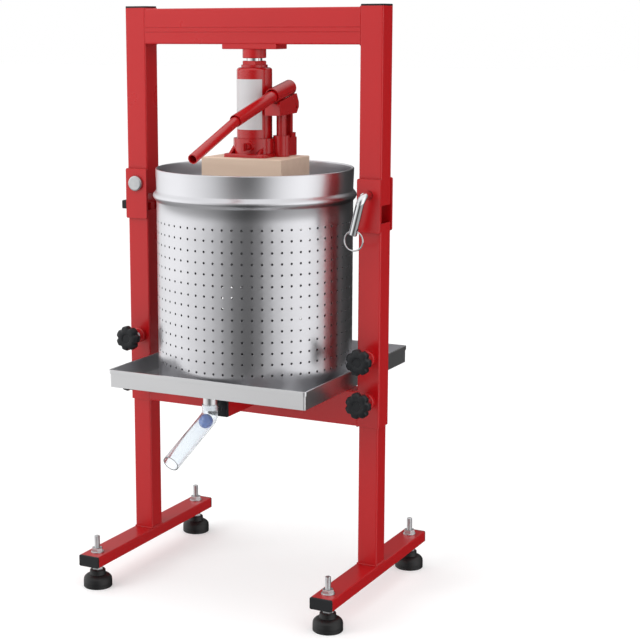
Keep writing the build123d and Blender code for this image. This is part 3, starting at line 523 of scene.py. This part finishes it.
for side in ("left", "right"):
    for end_name in ("front", "back"):
        foot = f"{side}_{end_name}"
        low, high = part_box(foot + "_pad")
        spot = Vector(((low.x + high.x) / 2, (low.y + high.y) / 2, 0))
        pad = make_piece(foot + "_rubber_pad",
                         *lathe(pad_outline((high.x - low.x) / 2, high.z), spot, steps=72),
                         finishes["black_rubber"], "black_rubber", foot + "_foot")
        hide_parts(foot + "_pad")
        stud_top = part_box(foot + "_stud")[1].z
        rod = threaded_rod(STUD_RADIUS, high.z - 1 * MM, stud_top - 0.8 * MM, spot)
        jam_nut = hexagon(NUT_FLATS, high.z, high.z + JAM_NUT, spot)
        stud = make_piece(foot + "_threaded_stud", *join(rod, jam_nut),
                          finishes["zinc"], "zinc", foot + "_foot")
        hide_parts(foot + "_stud")
        bar_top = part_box(side + "_foot_bar")[1].z - BAR_NUT_HEIGHT
        make_piece(foot + "_flange_nut", *flange_nut(bar_top, spot), finishes["zinc"], "zinc",
                   side + "_leg_unit")
print("feet:", 4)

# %% [markdown]
# ## Clamp knobs
# The knobs are moulded with seven lobes for grip, a slightly domed face with a sunk middle, and a
# neck behind. Lobes are a radius that rises and falls with the angle, and they fade to round
# towards the neck, so one turned outline makes the whole knob.

# %% Knobs
LOBES = 7
LOBE_DEPTH = 0.17
KNOB_RADIUS = 22 * MM
KNOB_THICKNESS = 16 * MM
NECK_RADIUS = 10 * MM
NECK_LENGTH = 12 * MM


def lobed(angle, radius, height):
    """Seven lobes at the knob's edge, none at its neck."""
    if radius < NECK_RADIUS * 1.15 or height < 0:
        return 1.0
    share = min(1.0, (radius - NECK_RADIUS) / (KNOB_RADIUS - NECK_RADIUS))
    valley = max(0.0, -cos(LOBES * angle)) ** 1.3
    return 1 - LOBE_DEPTH * share * valley


knob_outline = [(5 * MM, -NECK_LENGTH), (NECK_RADIUS - 1 * MM, -NECK_LENGTH),
                (NECK_RADIUS, 1 * MM - NECK_LENGTH), (NECK_RADIUS, 0),
                (NECK_RADIUS * 1.2, 0.2 * MM), (KNOB_RADIUS - 3 * MM, 0.4 * MM),
                (KNOB_RADIUS - 1 * MM, 1.6 * MM), (KNOB_RADIUS, 4 * MM), (KNOB_RADIUS, 11 * MM),
                (KNOB_RADIUS - 1 * MM, 13.6 * MM), (KNOB_RADIUS - 3.5 * MM, 15.2 * MM),
                (KNOB_RADIUS - 8 * MM, KNOB_THICKNESS), (9 * MM, KNOB_THICKNESS),
                (8 * MM, KNOB_THICKNESS - 0.3 * MM), (7.4 * MM, KNOB_THICKNESS - 1.2 * MM),
                (0.001 * MM, KNOB_THICKNESS - 1.2 * MM)]
for side in ("left", "right"):
    for level in ("upper", "lower"):
        node = f"{side}_{level}_knob"
        low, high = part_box(node)
        post = middle(f"{side}_leg")
        height = {"upper": 423 * MM, "lower": 350 * MM}[level]
        back = Vector((post.x, low.y + KNOB_THICKNESS, height))
        tip = back.y - high.y
        head = lathe(knob_outline, back, FORWARD, 98, lobed)
        screw = threaded_rod(STUD_RADIUS, tip, 1 * MM - NECK_LENGTH, back, FORWARD)
        knob = make_piece(f"{side}_{level}_clamp_knob", *head, finishes["black_plastic"],
                          "black_plastic", f"{side}_{level}_clamp")
        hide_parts(node)
        make_piece(f"{side}_{level}_clamp_screw", *screw, finishes["zinc"], "zinc",
                   f"{side}_{level}_clamp")
print("knobs:", 4, "lobes each:", LOBES)

# %% [markdown]
# ## Welds
# Every tube joint has a bead of weld under the paint. A bead is a row of overlapping ripples, so
# it is a thin tube along the joint whose radius swells and sinks about every two millimetres.

# %% A weld bead
RIPPLE = 2.2 * MM


def weld(name, corners, radius, body, finish="red_paint", closed=False):
    """A rippled bead along straight runs between corner points."""
    ends = list(zip(corners, corners[1:] + corners[:1] if closed else corners[1:]))
    parts = []
    for run_start, run_end in ends:
        run = run_end - run_start
        steps = max(2, ceil(run.length / RIPPLE * 4))
        outline = [(0.02 * MM, 0)]
        for step in range(steps + 1):
            height = run.length * step / steps
            swell = 0.78 + 0.22 * abs(sin(pi * height / RIPPLE))
            outline.append((radius * swell, height))
        outline.append((0.02 * MM, run.length))
        turn = run.to_track_quat("Z", "Y").to_matrix().to_4x4()
        parts.append(lathe(outline, run_start, turn, 8))
    return make_piece(name, *join(*parts), finishes[finish], finish, body)


# %% Welds at the ends of the beam and the rail
def end_loop(node, x, inset):
    """The corners of a beam's end, a little inside its edges."""
    low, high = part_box(node)
    return [Vector((x, low.y + inset, low.z)), Vector((x, high.y - inset, low.z)),
            Vector((x, high.y - inset, high.z)), Vector((x, low.y + inset, high.z))]


WELD = 1.8 * MM
for node, body in (("top_beam", "top_frame"), ("cross_rail", "lower_frame")):
    low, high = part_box(node)
    for side, x in (("left", low.x), ("right", high.x)):
        weld(f"{node}_{side}_weld", end_loop(node, x, 1.5 * MM), WELD, body, closed=True)
print("beam and rail welds: 4")

# %% Welds round the legs, the head plate and the bearer
def flat_loop(node, z, grow=0.0):
    """The corners of a node's outline from above, at a height."""
    low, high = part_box(node)
    return [Vector((low.x - grow, low.y - grow, z)), Vector((high.x + grow, low.y - grow, z)),
            Vector((high.x + grow, high.y + grow, z)), Vector((low.x - grow, high.y + grow, z))]


for side in ("left", "right"):
    leg_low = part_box(f"{side}_leg")[0]
    loop = flat_loop(f"{side}_leg", leg_low.z + 0.6 * MM)
    weld(f"{side}_leg_weld", loop, WELD, f"{side}_leg_unit", closed=True)
plate_low, plate_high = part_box("head_plate")
for side, y in (("front", plate_low.y + 1 * MM), ("back", plate_high.y - 1 * MM)):
    run = [Vector((plate_low.x, y, plate_high.z)), Vector((plate_high.x, y, plate_high.z))]
    weld(f"head_plate_{side}_weld", run, 1.2 * MM, "top_frame")
bearer_low, bearer_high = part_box("tray_bearer")
rail_low, rail_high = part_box("cross_rail")
for side, y in (("front", rail_low.y), ("back", rail_high.y)):
    corners = [Vector((bearer_low.x, y, rail_high.z - 2 * MM)),
               Vector((bearer_low.x, y, bearer_low.z)),
               Vector((bearer_high.x, y, bearer_low.z)),
               Vector((bearer_high.x, y, rail_high.z - 2 * MM))]
    weld(f"bearer_{side}_weld", corners, WELD, "lower_frame")

# %% Welds of the hinge and lock plates
for side in ("left", "right"):
    for face, out in (("front", -1), ("back", 1)):
        low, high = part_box(f"{side}_plate_{face}")
        y = low.y if out > 0 else high.y
        run = [Vector((low.x + 3 * MM, y, low.z)), Vector((high.x - 3 * MM, y, low.z))]
        weld(f"{side}_plate_{face}_weld", run, 1.3 * MM, "lower_frame")

# %% [markdown]
# ## The seam lines of the beam
# The beam shows two faint lines along its face, where its sheet was folded. They are real ridges,
# a few tenths of a millimetre proud, so that they catch light at a low angle.

# %% Seam lines
beam_low, beam_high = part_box("top_beam")
SEAM = 0.5 * MM
for label, share in (("upper", 0.53), ("lower", 0.66)):
    z = beam_high.z - share * (beam_high.z - beam_low.z)
    for face, y in (("front", beam_low.y), ("back", beam_high.y)):
        outline = [(0.01 * MM, 0), (SEAM, 0.5 * MM),
                   (SEAM, beam_high.x - beam_low.x - 1 * MM), (0.01 * MM, beam_high.x - beam_low.x)]
        start_point = Vector((beam_low.x, y, z))
        along = Vector((1, 0, 0)).to_track_quat("Z", "Y").to_matrix().to_4x4()
        make_piece(f"beam_{label}_seam_{face}", *lathe(outline, start_point, along, 8),
                   finishes["red_paint"], "red_paint", "top_frame")

# %% [markdown]
# ## The jack's label
# The reservoir carries a plain white label with no lettering. It is a thin curved sheet with real
# thickness, wrapped a little proud of the paint.

# %% Label
tank_low, tank_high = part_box("jack_reservoir")
tank = middle("jack_reservoir")
tank_radius = (tank_high.x - tank_low.x) / 2
LABEL_BOTTOM = 795 * MM
LABEL_TOP = 879 * MM
LABEL_PROUD = 0.25 * MM
label_paper = new_finish(
    "label_paper", (0.58, 0.57, 0.58), (0.53, 0.52, 0.53), 0.32, 0.42, drift=25,
    grain=900, depth=0.008, edge=0.2)
label_start, label_end = -2.95, -0.65         # radians from +X, over the front and left
steps = 40
vertices = []
for radius in (tank_radius + LABEL_PROUD, tank_radius + 0.02 * MM):
    for z in (LABEL_BOTTOM, LABEL_TOP):
        for step in range(steps + 1):
            angle = label_start + (label_end - label_start) * step / steps
            vertices.append(Vector((tank.x + radius * cos(angle), tank.y + radius * sin(angle), z)))
row = steps + 1
faces = []
for step in range(steps):
    faces.append((step, step + 1, row + step + 1, row + step))
    faces.append((2 * row + step + 1, 2 * row + step, 3 * row + step, 3 * row + step + 1))
    faces.append((step + 1, step, 2 * row + step, 2 * row + step + 1))
    faces.append((row + step, row + step + 1, 3 * row + step + 1, 3 * row + step))
faces.append((0, row, 3 * row, 2 * row))
faces.append((row + steps, steps, 2 * row + steps, 3 * row + steps))
make_piece("jack_label", vertices, faces, label_paper, "jack_paint", "press_stack")

# %% [markdown]
# ## Studio
# The floor and the world are pale, so the press stands in soft light. Polished steel only looks
# like steel when it has something to reflect, so the world is darker in a few soft vertical bands.
# The bands belong to the world, not to any material. They fade to one pale grey overhead and darken
# just below the horizon. The camera sees plain white instead of the bands. The floor and the lamps
# are hidden from reflections, so only the world shows in the steel.

# %% Floor
FLOOR = 30.0
floor_mesh = bpy.data.meshes.new("floor")
floor_corners = [(-FLOOR, -FLOOR, 0), (FLOOR, -FLOOR, 0), (FLOOR, FLOOR, 0), (-FLOOR, FLOOR, 0)]
floor_mesh.from_pydata(floor_corners, [], [(0, 1, 2, 3)])
floor_finish = new_finish("floor_finish", (0.72, 0.72, 0.72), (0.71, 0.71, 0.71), 0.85, 0.9,
                          drift=1, grain=20, depth=0.001, edge=0.1,
                          shader={"Emission Color": (1, 1, 1, 1), "Emission Strength": 0.32})
floor_mesh.materials.append(floor_finish)
floor = bpy.data.objects.new("floor", floor_mesh)
bpy.context.scene.collection.objects.link(floor)
floor.visible_glossy = False

# %% World
# Each pair is a share of the turn round the press, counted from -X against the clock, and how
# bright the studio is there. The two bright stretches are soft boxes at the front.
BANDS = ((0.0, 0.92), (0.06, 0.95), (0.13, 0.80), (0.19, 0.62), (0.22, 0.42), (0.26, 0.16),
         (0.31, 0.07), (0.345, 0.18), (0.38, 0.58), (0.42, 0.84), (0.488, 1.0), (0.53, 0.90),
         (0.56, 0.62), (0.60, 0.28), (0.64, 0.09), (0.69, 0.02), (0.80, 0.02), (0.87, 0.35),
         (0.94, 0.78), (1.0, 0.92))
STUDIO = 1.5                  # strength of the world
CEILING_FROM = 0.35           # height of a direction, -1 straight down and 1 straight up
CEILING_TO = 0.75
CEILING_LEVEL = 0.75          # how bright the studio is overhead
LOW_FROM = -0.30
LOW_TO = -0.235
LOW_LEVEL = 0.35              # share of a band's brightness left under LOW_FROM
world = bpy.data.worlds.new("studio")
bpy.context.scene.world = world
world.use_nodes = True
nodes = world.node_tree.nodes
links = world.node_tree.links
direction = nodes.new("ShaderNodeTexCoord")
split = nodes.new("ShaderNodeSeparateXYZ")
azimuth = nodes.new("ShaderNodeMath")
azimuth.operation = "ARCTAN2"
share = nodes.new("ShaderNodeMapRange")
share.inputs["From Min"].default_value = -pi
share.inputs["From Max"].default_value = pi
bands = nodes.new("ShaderNodeValToRGB")
bands.color_ramp.interpolation = "EASE"
ramp = bands.color_ramp.elements
while len(ramp) < len(BANDS):
    ramp.new(0.5)
for element, (spot, level) in zip(ramp, BANDS):
    element.position = spot
for element, (spot, level) in zip(ramp, BANDS):
    element.color = (level, level, level, 1)
ceiling = nodes.new("ShaderNodeMapRange")
ceiling.inputs["From Min"].default_value = CEILING_FROM
ceiling.inputs["From Max"].default_value = CEILING_TO
overhead = nodes.new("ShaderNodeMix")
overhead.data_type = "RGBA"
overhead.inputs[7].default_value = (CEILING_LEVEL, CEILING_LEVEL, CEILING_LEVEL, 1)
low = nodes.new("ShaderNodeMapRange")
low.inputs["From Min"].default_value = LOW_FROM
low.inputs["From Max"].default_value = LOW_TO
low.inputs["To Min"].default_value = LOW_LEVEL
dim = nodes.new("ShaderNodeMix")
dim.data_type = "RGBA"
dim.inputs[6].default_value = (0, 0, 0, 1)
seen = nodes.new("ShaderNodeLightPath")
choose = nodes.new("ShaderNodeMix")
choose.data_type = "RGBA"
choose.inputs[7].default_value = (1 / STUDIO, 1 / STUDIO, 1 / STUDIO, 1)
links.new(direction.outputs["Generated"], split.inputs[0])
links.new(split.outputs["Y"], azimuth.inputs[0])
links.new(split.outputs["X"], azimuth.inputs[1])
links.new(azimuth.outputs[0], share.inputs["Value"])
links.new(share.outputs["Result"], bands.inputs["Fac"])
links.new(split.outputs["Z"], ceiling.inputs["Value"])
links.new(ceiling.outputs["Result"], overhead.inputs[0])
links.new(split.outputs["Z"], low.inputs["Value"])
links.new(low.outputs["Result"], dim.inputs[0])
links.new(bands.outputs["Color"], dim.inputs[7])
links.new(dim.outputs[2], overhead.inputs[6])
links.new(seen.outputs["Is Camera Ray"], choose.inputs[0])
links.new(overhead.outputs[2], choose.inputs[6])
links.new(choose.outputs[2], nodes["Background"].inputs["Color"])
nodes["Background"].inputs["Strength"].default_value = STUDIO


# %% Lamps
def soft_lamp(name, spot, target, width, height, power):
    """A large rectangular lamp that faces a point."""
    data = bpy.data.lights.new(name, "AREA")
    data.shape = "RECTANGLE"
    data.size = width
    data.size_y = height
    data.energy = power
    lamp = bpy.data.objects.new(name, data)
    lamp.location = spot
    lamp.rotation_euler = (Vector(target) - Vector(spot)).to_track_quat("-Z", "Y").to_euler()
    lamp.visible_glossy = False
    bpy.context.scene.collection.objects.link(lamp)


press_middle = Vector((0, 0, 0.5))
soft_lamp("key_lamp", (-1.5, -2.0, 1.7), press_middle, 1.2, 1.6, 22)
soft_lamp("fill_lamp", (2.6, -0.6, 1.4), press_middle, 0.8, 1.8, 3)
soft_lamp("top_lamp", (0, 0, 3.0), press_middle, 2.0, 2.0, 8)

# %% Camera
camera_data = bpy.data.cameras.new("camera")
camera_data.lens = 88.4
camera_data.sensor_width = 36
camera_data.shift_x = 0.1178
camera_data.shift_y = -0.0119
camera = bpy.data.objects.new("camera", camera_data)
right = Vector((0.88066, 0.47373, -0.00426))
up = Vector((-0.08186, 0.16103, 0.98355))
back = Vector((0.46662, -0.86582, 0.18060))
turned = Matrix((right, up, back)).transposed().to_4x4()
camera.matrix_world = Matrix.Translation((1.26265, -2.33946, 0.97019)) @ turned
bpy.context.scene.collection.objects.link(camera)
bpy.context.scene.camera = camera
bpy.context.scene.view_settings.view_transform = "Standard"
